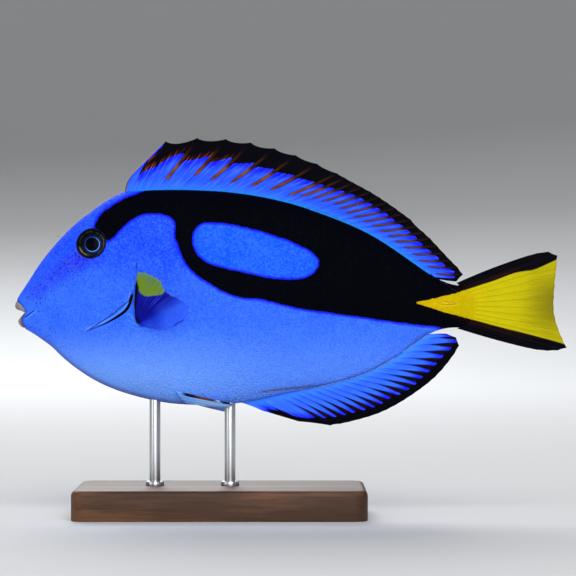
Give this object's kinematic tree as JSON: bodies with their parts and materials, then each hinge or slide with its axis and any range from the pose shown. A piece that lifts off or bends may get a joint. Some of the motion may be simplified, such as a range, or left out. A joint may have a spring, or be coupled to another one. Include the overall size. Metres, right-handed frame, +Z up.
{
  "type": "regal blue tang museum model",
  "caption": "Still, life-size model of a regal blue tang with spread fins, held over a flat wooden base by short steel rods.",
  "frame": {"origin": "on the floor under the middle of the whole model's box", "axes": "the fish faces -X, its tail is at +X, its left side faces -Y, and +Z is up"},
  "size_m": [0.2207, 0.072, 0.151],
  "materials": {
    "skin": "painted scaled skin with a satin sheen",
    "fin_membrane": "painted ribbed membrane",
    "tail_membrane": "painted ribbed membrane",
    "pale_membrane": "painted ribbed membrane",
    "eye": "polished dark glass eye",
    "bone": "pale and smooth",
    "base_wood": "waxed",
    "rod_steel": "brushed"
  },
  "bodies": {
    "root": {"head": "skin", "lower_jaw": "skin", "gill_cover_left": "skin", "gill_cover_right": "skin", "torso": "skin", "tail_stalk": "skin", "dorsal_fin": "fin_membrane", "anal_fin": "fin_membrane", "tail_fin": "tail_membrane", "pectoral_fin_left": "fin_membrane", "pectoral_fin_right": "fin_membrane", "pelvic_fin_left": "pale_membrane", "pelvic_fin_right": "pale_membrane", "eye_left": "eye", "eye_right": "eye", "tail_spine_left": "bone", "tail_spine_right": "bone", "stand_base": "base_wood", "stand_rod_front": "rod_steel", "stand_rod_rear": "rod_steel"}
  },
  "joints": []
}
